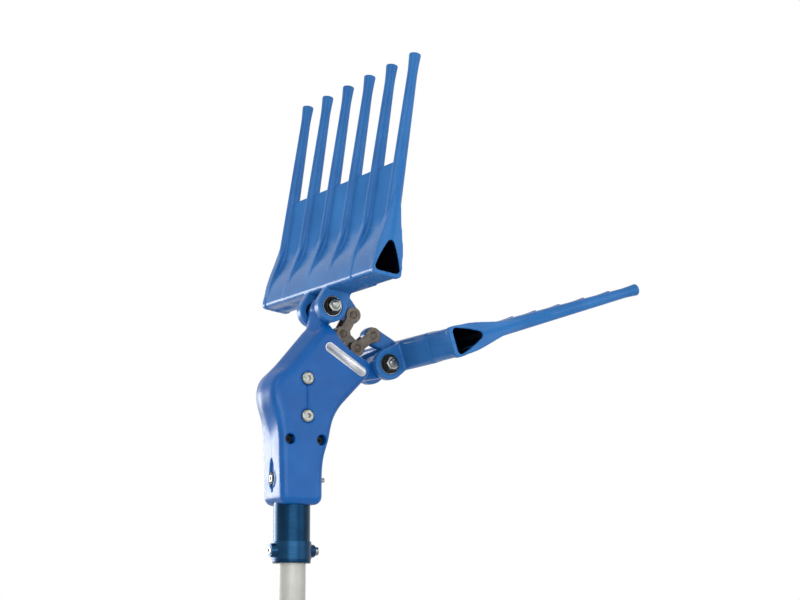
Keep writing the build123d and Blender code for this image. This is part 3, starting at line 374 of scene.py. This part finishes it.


# marks on the mesh where the beam is hollow, for the painted shade inside it, and where the webs are flat,
# for the combs' finish
def shadeComb(skin, toWorld, leaning):
    for name in ("hollowShade", "flatShade"):
        skin.attributes.new(name, "FLOAT", "POINT")
    hollowShade = skin.attributes["hollowShade"].data
    flatShade = skin.attributes["flatShade"].data
    hollow = combLook["hollow"]
    flat = combLook["flat"]
    toLocal = toWorld.inverted()
    upright = leaning.inverted().to_3x3()
    for vertex in skin.vertices:
        local = toLocal @ vertex.co
        outward = Vector((local.x, 0.0, local.z - hollow["middleMm"]))
        narrowing = (hollow["topMm"] - local.z) / (hollow["topMm"] - hollow["floorMm"])
        within = 0 < narrowing < 1 and abs(local.x) < hollow["halfMm"] * narrowing + hollow["bulgeMm"]
        facingIn = outward.dot(upright @ vertex.normal) < 0
        # the hollow's inward-facing walls get the painted shade
        inside = within and abs(local.y) < hollow["rimMm"] and facingIn
        hollowShade[vertex.index].value = 1.0 if inside else 0.0
        proud = (abs(local.x) - flat["fromMm"]) / (flat["toMm"] - flat["fromMm"])
        onWeb = local.z < combLook["web"]["topMm"]
        flatShade[vertex.index].value = held(1.0 - proud) if onWeb else 0.0


for nodeName in ("upper_comb", "lower_comb"):
    rootX, rootZ = combLook[nodeName]["rootMm"]
    leaning = Matrix.Rotation(math.radians(combLook[nodeName]["turn"]), 4, "Y")
    rooted = Matrix.Translation((rootX / perMetre, 0.0, rootZ / perMetre))
    toWorld = rooted @ leaning @ Matrix.Scale(1 / perMetre, 4)
    shape = cadCopy(nodeName)
    addWebs(shape, toWorld)
    addBars(shape, toWorld)
    bmesh.ops.recalc_face_normals(shape, faces=shape.faces)
    skin = evaluated(nodeName, toMesh(shape, nodeName, allSmooth),
                     ("REMESH", {"mode": "VOXEL", "voxel_size": combLook["voxelMm"] / perMetre}),
                     ("SMOOTH", {"factor": combLook["share"], "iterations": combLook["steps"]}),
                     ("DECIMATE", {"ratio": combLook["kept"]}))
    skin.shade_smooth()
    shadeComb(skin, toWorld, leaning)
    addPiece(pieceName(nodeName, "Skin"), skin, nodeName)
    print(nodeName, "moulded,", len(skin.polygons), "faces")


# housing: both shells formed as one, flowing into the pivot lugs, then parted at the seam
housingLook = {
    "voxelMm": 0.8, "steps": 8, "share": 0.5, "kept": 0.6, "seamMm": 0.3, "sharp": 40.0, "halfMm": 26.0,
    "pocket": {"radiusMm": 18.0, "halfMm": 17.0, "flowMm": {"upper": 15.0, "lower": 9.0}},
    "lug": {"leanMm": 9.0, "radiusMm": 13.0, "footMm": 28.0, "footAcrossMm": 2.0, "boreRoomMm": 7.0,
            "marginMm": {"deep": 0.6, "low": 2.0, "high": 1.0}},
    "back": {"steps": 180, "sliceMm": 2.0, "bandMm": 38.0, "fadeMm": 10.0, "footMm": 262.0,
             "lugRoomMm": 20.0, "labelAcrossMm": 21.0, "labelAlongMm": -42.0},
    "groove": {"flankMm": 2.4, "endMm": 6.0, "halfMm": 1.2, "deepMm": 1.2},
}
pivots = {side: middleOf(side + "_pivot_bolt") * perMetre for side in sides}
acrossHead = (pivots["lower"] - pivots["upper"]).normalized()
alongHead = Vector((-acrossHead.z, 0.0, acrossHead.x))


# the upper lug's back leans in from the seam, as the neck under it does
def leanLug(place):
    lug = housingLook["lug"]
    margin = lug["marginMm"]
    depth = abs(place.y)
    fromUpper = place - pivots["upper"]
    across = fromUpper.dot(acrossHead)
    along = fromUpper.dot(alongHead)
    nearSeam = depth < housingLook["pocket"]["halfMm"] + margin["deep"]
    besideLug = -lug["footMm"] - margin["low"] < along < lug["radiusMm"] + margin["high"]
    if nearSeam and besideLug and Vector((across, along)).length > lug["boreRoomMm"]:
        rise = held(1 + along / lug["footMm"])
        edge = lug["footAcrossMm"] - rise * (lug["radiusMm"] + lug["footAcrossMm"])
        share = held(1 - (across - edge) / lug["radiusMm"])
        place = place + acrossHead * (lug["leanMm"] * share * depth / housingLook["halfMm"])
    return place


# faces fall away in a soft curve towards the pockets of the combs' ears
def flowToPockets(place):
    pocket = housingLook["pocket"]
    swell = housingLook["halfMm"] - pocket["halfMm"]
    for side, flow in pocket["flowMm"].items():
        fromPivot = place - pivots[side]
        away = (Vector((fromPivot.x, fromPivot.z)).length - pocket["radiusMm"]) / flow
        if 0 < away < 1:
            limit = pocket["halfMm"] + swell * (1 - (1 - away) ** 2)
            place.y = math.copysign(min(abs(place.y), limit), place.y)
    return place


# how far each vertex takes part in the rounding of the back, which spares the lugs and the label's seat
def backShares(mesh):
    back = housingLook["back"]
    levels = [round(vertex.co.z * perMetre / back["sliceMm"]) for vertex in mesh.vertices]
    backLine = {}
    for vertex, level in zip(mesh.vertices, levels):
        backLine[level] = min(backLine.get(level, math.inf), vertex.co.x)
    shares = []
    for vertex, level in zip(mesh.vertices, levels):
        fromBack = (vertex.co.x - backLine[level]) * perMetre
        fromUpper = vertex.co * perMetre - pivots["upper"]
        fromUpper.y = 0.0
        room = min(back["bandMm"] - fromBack, vertex.co.z * perMetre - back["footMm"],
                   fromUpper.length - back["lugRoomMm"])
        fromLabel = max(back["labelAcrossMm"] - fromUpper.dot(acrossHead),
                        back["labelAlongMm"] - fromUpper.dot(alongHead))
        shares.append(held(min(room, fromLabel) / back["fadeMm"]))
    return shares


# cuts the shallow groove between the two front bolts afresh, and keeps it out of the smoothing
def cutGroove(mesh):
    groove = housingLook["groove"]
    high = middleOf("front_bolt_upper") * perMetre
    low = middleOf("front_bolt_lower") * perMetre
    shares = []
    for vertex in mesh.vertices:
        place = vertex.co * perMetre
        raised = (place.z - low.z) / (high.z - low.z)
        aside = abs(place.x - low.x - raised * (high.x - low.x))
        between = low.z + groove["endMm"] < place.z < high.z - groove["endMm"]
        inGroove = between and place.y < high.y and aside < groove["flankMm"]
        shares.append(0.0 if inGroove else 1.0)
        if inGroove and aside < groove["halfMm"]:
            vertex.co.y += groove["deepMm"] / perMetre * (1 - (aside / groove["halfMm"]) ** 2)
    return shares


shape = cadCopy("housing_front")
shape.from_mesh(nodes["housing_rear"].data)
bmesh.ops.remove_doubles(shape, verts=shape.verts, dist=mergeDist)
inner = [face for face in shape.faces if all(abs(vertex.co.y) < mergeDist for vertex in face.verts)]
bmesh.ops.delete(shape, geom=inner, context="FACES")
whole = evaluated("housing", toMesh(shape, "housing", allSmooth),
                  ("REMESH", {"mode": "VOXEL", "voxel_size": housingLook["voxelMm"] / perMetre}))
for vertex in whole.vertices:
    vertex.co = flowToPockets(leanLug(vertex.co * perMetre)) / perMetre
rounding = backShares(whole)
easing = cutGroove(whole)
whole = evaluated("housing", whole,
                  ("SMOOTH", {"factor": housingLook["share"], "iterations": housingLook["steps"],
                              "vertex_group": "easing"}),
                  ("SMOOTH", {"factor": housingLook["share"], "iterations": housingLook["back"]["steps"],
                              "vertex_group": "rounding"}),
                  ("DECIMATE", {"ratio": housingLook["kept"]}), easing=easing, rounding=rounding)
for nodeName, facing in (("housing_front", 1.0), ("housing_rear", -1.0)):
    shape = bmesh.new()
    shape.from_mesh(whole)
    outward = Vector((0.0, facing, 0.0))
    rim = cutOff(shape, outward * (-housingLook["seamMm"] / 2 / perMetre), outward)
    bmesh.ops.triangle_fill(shape, edges=rim, use_beauty=True, normal=outward)
    bmesh.ops.recalc_face_normals(shape, faces=shape.faces)
    skin = toMesh(shape, nodeName, housingLook["sharp"])
    addPiece(pieceName(nodeName, "Skin"), skin, nodeName)
    print(nodeName, "moulded,", len(skin.polygons), "faces")


# hardware and turned parts: the CAD shape with its sharp edges broken
brokenEdges = {"bevelMm": 0.35, "flat": 1.0, "sharp": 50.0, "segments": 2, "profile": 0.5}
softened = ["pole", "collar", "clamp_front", "clamp_rear", "clamp_screw_left", "clamp_screw_right",
            "front_bolt_upper", "front_bolt_lower", "cross_bolt", "crosshead"]
softened += [side + "_link_plate_" + end for side in sides for end in ends]
corner = math.radians(brokenEdges["sharp"])
for nodeName in softened:
    shape = cadCopy(nodeName)
    bmesh.ops.dissolve_limit(shape, angle_limit=math.radians(brokenEdges["flat"]),
                             verts=shape.verts, edges=shape.edges)
    sharp = [edge for edge in shape.edges if edge.is_manifold and edge.calc_face_angle() > corner]
    bmesh.ops.bevel(shape, geom=sharp, offset=brokenEdges["bevelMm"] / perMetre, offset_type="OFFSET",
                    segments=brokenEdges["segments"], profile=brokenEdges["profile"], affect="EDGES",
                    material=-1, clamp_overlap=True)
    piece = addPiece(pieceName(nodeName, "Soft"), toMesh(shape, nodeName, brokenEdges["sharp"]), nodeName)
    piece.modifiers.new("evenNormals", "WEIGHTED_NORMAL").keep_sharp = True
print("edges broken on", len(softened), "pieces")


# turned fittings: half outlines in millimetres, (radius, distance along the axis)
turnedLook = {"steps": 48, "sharp": 35.0, "pinRadiusMm": 4.0, "chamferRun": 1.6, "leadShare": 0.6}
pinRadius = turnedLook["pinRadiusMm"]
up = Vector((0.0, 0.0, 1.0))
backwards = Vector((0.0, 1.0, 0.0))
sideways = Vector((1.0, 0.0, 0.0))


# turns each outline once round the axis
def turned(outlines, start, axis):
    shape = bmesh.new()
    for outline in outlines:
        points = [start + up * (radius / perMetre) + axis * (along / perMetre) for radius, along in outline]
        row = [shape.verts.new(point) for point in points]
        line = [shape.edges.new(pair) for pair in zip(row, row[1:])]
        bmesh.ops.spin(shape, geom=row + line, cent=start, axis=axis, angle=math.tau,
                       steps=turnedLook["steps"], use_merge=True)
    bmesh.ops.remove_doubles(shape, verts=shape.verts, dist=mergeDist)
    bmesh.ops.recalc_face_normals(shape, faces=shape.faces)
    return shape


# mills six flats on a turned shape
def hexed(shape, start, axis, acrossFlats):
    for i in range(6):
        outward = Matrix.Rotation(math.radians(60 * i), 3, axis) @ up
        rim = cutOff(shape, start + outward * (acrossFlats / 2 / perMetre), outward)
        bmesh.ops.holes_fill(shape, edges=rim, sides=0)
    return shape


# radius of a hexagon's corners
def cornerOf(acrossFlats):
    return acrossFlats / math.sqrt(3)


# closed outline of a ring with its corners broken
def ringOutline(inner, outer, low, high, broken):
    return [(inner + broken, low), (outer - broken, low), (outer, low + broken), (outer, high - broken),
            (outer - broken, high), (inner + broken, high), (inner, high - broken), (inner, low + broken),
            (inner + broken, low)]


# closed outline of a nut before its flats are milled
def nutOutline(bore, corner, height, chamfer):
    lead = chamfer * turnedLook["leadShare"]
    crown = corner - turnedLook["chamferRun"] * chamfer
    return [(bore + lead, 0), (crown, 0), (corner, chamfer), (corner, height - chamfer), (crown, height),
            (bore + lead, height), (bore, height - lead), (bore, lead), (bore + lead, 0)]


# where a CAD node stands: middle of its low end along an axis, then its length and height in millimetres
def stance(nodeName, axis):
    low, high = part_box(nodeName)
    index = list(axis).index(1.0)
    start = (low + high) / 2
    start[index] = low[index]
    return start, (high - low)[index] * perMetre, (high - low).z * perMetre


# puts a turned or pressed shape in the scene
def addFitting(nodeName, ending, shape, **choice):
    addPiece(pieceName(nodeName, ending), toMesh(shape, nodeName, turnedLook["sharp"]), nodeName, **choice)


# ball bearings: two ground rings with a black seal sunk between them on each face
bearingLook = {"outerMm": 0.8, "innerMm": 1.3, "brokenMm": 0.25, "sunkMm": 0.4, "sealMm": 1.4, "gapMm": 0.05,
               "boreRoomMm": 0.08}
broken = bearingLook["brokenMm"]
bore = pinRadius + bearingLook["boreRoomMm"]
innerRing = pinRadius + bearingLook["innerMm"]
for nodeName in [side + "_bearing_" + end for side in sides for end in ends]:
    start, width, across = stance(nodeName, backwards)
    outerRing = across / 2 - bearingLook["outerMm"]
    rings = [ringOutline(outerRing, across / 2, 0, width, broken),
             ringOutline(bore, innerRing, 0, width, broken)]
    addFitting(nodeName, "Rings", turned(rings, start, backwards))
    seals = [ringOutline(innerRing + bearingLook["gapMm"], outerRing - bearingLook["gapMm"], low,
                         low + bearingLook["sealMm"], broken)
             for low in (bearingLook["sunkMm"], width - bearingLook["sunkMm"] - bearingLook["sealMm"])]
    addFitting(nodeName, "Seals", turned(seals, start, backwards), replaced=False, slotName="bush_black")
print("bearings turned")

# pivot bolts: hex head at the rear, rolled thread at the front, chamfered nut and two washers
boltLook = {"flatsMm": 13.0, "chamferMm": 0.75, "headMm": 5.3, "washerBrokenMm": 0.3,
            "threadMm": 14.0, "pitchMm": 1.25, "rootMm": 3.35, "pointMm": 0.5, "rootAt": 0.3, "crestAt": 0.8}
corner = cornerOf(boltLook["flatsMm"])


# half outline of a pivot bolt from its thread's point to its head
def boltOutline(length):
    pitch = boltLook["pitchMm"]
    root = boltLook["rootMm"]
    outline = [(0.0, 0.0), (root - boltLook["pointMm"], 0.0)]
    for turn in range(int(boltLook["threadMm"] / pitch)):
        outline += [(root, (turn + boltLook["rootAt"]) * pitch),
                    (pinRadius, (turn + boltLook["crestAt"]) * pitch)]
    headFoot = length - boltLook["headMm"]
    crown = corner - turnedLook["chamferRun"] * boltLook["chamferMm"]
    return outline + [(pinRadius, headFoot), (corner, headFoot), (corner, length - boltLook["chamferMm"]),
                      (crown, length), (0.0, length)]


for side in sides:
    nodeName = side + "_pivot_bolt"
    start, length, _ = stance(nodeName, backwards)
    bolt = turned([boltOutline(length)], start, backwards)
    addFitting(nodeName, "Threaded", hexed(bolt, start, backwards, boltLook["flatsMm"]))
    nodeName = side + "_pivot_nut"
    start, height, _ = stance(nodeName, backwards)
    nut = turned([nutOutline(pinRadius, corner, height, boltLook["chamferMm"])], start, backwards)
    addFitting(nodeName, "Milled", hexed(nut, start, backwards, boltLook["flatsMm"]))
    for end in ends:
        nodeName = side + "_washer_" + end
        start, thickness, across = stance(nodeName, backwards)
        outline = ringOutline(pinRadius, across / 2, 0, thickness, boltLook["washerBrokenMm"])
        addFitting(nodeName, "Pressed", turned([outline], start, backwards))
print("pivot bolts turned")

# link pins: riveted ends with a punched ring round the middle, the crown as (in from the edge, down)
rivetLook = {"domeMm": 1.7, "domeDropMm": 0.1, "grooveMm": 2.3, "rimMm": 3.0, "deepMm": 0.6,
             "crownMm": ((0.6, 0.15), (0.15, 0.3))}
deep = rivetLook["deepMm"]
half = [(0.0, 0.0), (rivetLook["domeMm"], rivetLook["domeDropMm"]), (rivetLook["grooveMm"], deep),
        (rivetLook["rimMm"], deep)]
half += [(pinRadius - inwards, drop) for inwards, drop in rivetLook["crownMm"]]
half += [(pinRadius, deep)]
for nodeName in [side + "_link_pin_" + end for side in sides for end in ("lever", "crosshead")]:
    start, length, _ = stance(nodeName, backwards)
    outline = half + [(radius, length - along) for radius, along in reversed(half)]
    addFitting(nodeName, "Riveted", turned([outline], start, backwards))
print("link pins riveted")

# cross bolt's bush, washer and nut
crossLook = {"cross_bush": {"boreMm": 4.4, "brokenMm": 0.6, "ending": "Moulded"},
             "cross_washer": {"boreMm": 2.5, "brokenMm": 0.3, "ending": "Pressed"},
             "cross_nut": {"boreMm": 2.5, "chamferMm": 0.5, "flatsMm": 8.0, "ending": "Milled"}}
for nodeName, look in crossLook.items():
    start, length, across = stance(nodeName, sideways)
    if "flatsMm" in look:
        outline = nutOutline(look["boreMm"], cornerOf(look["flatsMm"]), length, look["chamferMm"])
        shape = hexed(turned([outline], start, sideways), start, sideways, look["flatsMm"])
    else:
        outline = ringOutline(look["boreMm"], across / 2, 0, length, look["brokenMm"])
        shape = turned([outline], start, sideways)
    addFitting(nodeName, look["ending"], shape)
print("cross bolt dressed")

# oval plate: a raised rim round a sunk brushed field
labelLook = {"rimMm": 1.0, "stepMm": 0.25, "sunkMm": 0.3, "flat": 1.0}
shape = cadCopy("label_plate")
bmesh.ops.dissolve_limit(shape, angle_limit=math.radians(labelLook["flat"]),
                         verts=shape.verts, edges=shape.edges)
field = min(shape.faces, key=lambda face: face.calc_center_median().y)
bmesh.ops.inset_individual(shape, faces=[field], thickness=labelLook["rimMm"] / perMetre)
bmesh.ops.inset_individual(shape, faces=[field], thickness=labelLook["stepMm"] / perMetre,
                           depth=-labelLook["sunkMm"] / perMetre)
addFitting("label_plate", "Pressed", shape)
print("label pressed")

# camera at the photograph's place, worked out for a picture 800 wide
view = {"place": (-1.0287, -2.2698, 0.0142), "azimuth": 27.01, "pitch": 8.824, "focalPixels": 2351.8,
        "width": 800, "sensorMm": 36.0, "near": 0.01}
lens = bpy.data.cameras.new("photoCamera")
lens.sensor_fit = "HORIZONTAL"
lens.sensor_width = view["sensorMm"]
lens.lens = lens.sensor_width * view["focalPixels"] / view["width"]
lens.clip_start = view["near"]
camera = bpy.data.objects.new("photoCamera", lens)
camera.location = view["place"]
camera.rotation_euler = (math.radians(90 + view["pitch"]), 0.0, math.radians(-view["azimuth"]))
bpy.context.scene.collection.objects.link(camera)
bpy.context.scene.camera = camera


# 1 for what the eye, a reflection or glass sees, 0 for light that falls on the object
def seenRays(tree):
    ray = addNode(tree, "ShaderNodeLightPath")
    seen = addNode(tree, "ShaderNodeMath", None,
                   {0: ray.outputs["Is Camera Ray"], 1: ray.outputs["Is Glossy Ray"]}, operation="MAXIMUM")
    through = addNode(tree, "ShaderNodeMath", None,
                      {0: seen.outputs[0], 1: ray.outputs["Is Transmission Ray"]}, operation="MAXIMUM")
    return through.outputs[0]


# pale floor under the pole's end, matt paper, a little lighter to the eye than its light makes it
floorLook = {"half": 30.0, "deep": "#efefee", "bright": "#f2f2f1", "grainMm": 900, "rough": 0.95, "lift": 0.3}
floorMesh = bpy.data.meshes.new("paleFloor")
flat = bmesh.new()
bmesh.ops.create_grid(flat, x_segments=1, y_segments=1, size=floorLook["half"])
flat.to_mesh(floorMesh)
flat.free()
floor = bpy.data.objects.new("paleFloor", floorMesh)
bpy.context.scene.collection.objects.link(floor)
paper, tree, place = startMaterial("mattPaperFloor")
grain = addNode(tree, "ShaderNodeTexNoise", {"Scale": perMm(floorLook["grainMm"])}, {"Vector": place})
pale = tint(tree, grain.outputs["Fac"], floorLook["deep"], floorLook["bright"])
lift = addNode(tree, "ShaderNodeMath", {1: floorLook["lift"]}, {0: seenRays(tree)}, operation="MULTIPLY")
shader = addNode(tree, "ShaderNodeBsdfPrincipled",
                 {"Roughness": floorLook["rough"], "Specular IOR Level": 0.0,
                  "Emission Color": linear(pureWhite)},
                 {"Base Color": pale, "Emission Strength": lift.outputs[0]})
addNode(tree, "ShaderNodeOutputMaterial", None, {"Surface": shader.outputs["BSDF"]})
floorMesh.materials.append(paper)

# soft studio light: a large key from the left, a weaker fill, a low bounce and a broad window behind
studio = {
    "key": {"place": (-1.9, -1.7, 1.7), "width": 1.6, "height": 1.6, "watts": 16},
    "fill": {"place": (1.5, -1.9, 0.8), "width": 1.6, "height": 1.6, "watts": 11},
    "bounce": {"place": (-0.4, -1.6, 0.22), "width": 1.6, "height": 0.4, "watts": 8},
    "window": {"place": (-1.3, 2.5, 0.42), "width": 2.0, "height": 0.8, "watts": 46},
}
aim = Vector((0.1, 0.0, 0.38))
for name, lamp in studio.items():
    light = bpy.data.lights.new(name, "AREA")
    light.shape = "RECTANGLE"
    light.size = lamp["width"]
    light.size_y = lamp["height"]
    light.energy = lamp["watts"]
    source = bpy.data.objects.new(name, light)
    source.location = lamp["place"]
    source.rotation_euler = (aim - source.location).to_track_quat("-Z", "Y").to_euler()
    source.visible_camera = False
    bpy.context.scene.collection.objects.link(source)

# white surround: plain light on the object, white to the eye and in reflections
surround = {"light": 0.5, "white": 1.0}
world = bpy.data.worlds.new("whiteSurround")
world.use_nodes = True
tree = world.node_tree
tree.nodes.clear()
lit = addNode(tree, "ShaderNodeBackground", {"Color": linear(pureWhite), "Strength": surround["light"]})
white = addNode(tree, "ShaderNodeBackground", {"Color": linear(pureWhite), "Strength": surround["white"]})
mixed = addNode(tree, "ShaderNodeMixShader", None,
                {0: seenRays(tree), 1: lit.outputs[0], 2: white.outputs[0]})
addNode(tree, "ShaderNodeOutputWorld", None, {"Surface": mixed.outputs[0]})
bpy.context.scene.world = world
bpy.context.scene.view_settings.view_transform = "Standard"
print("camera, floor and light set")
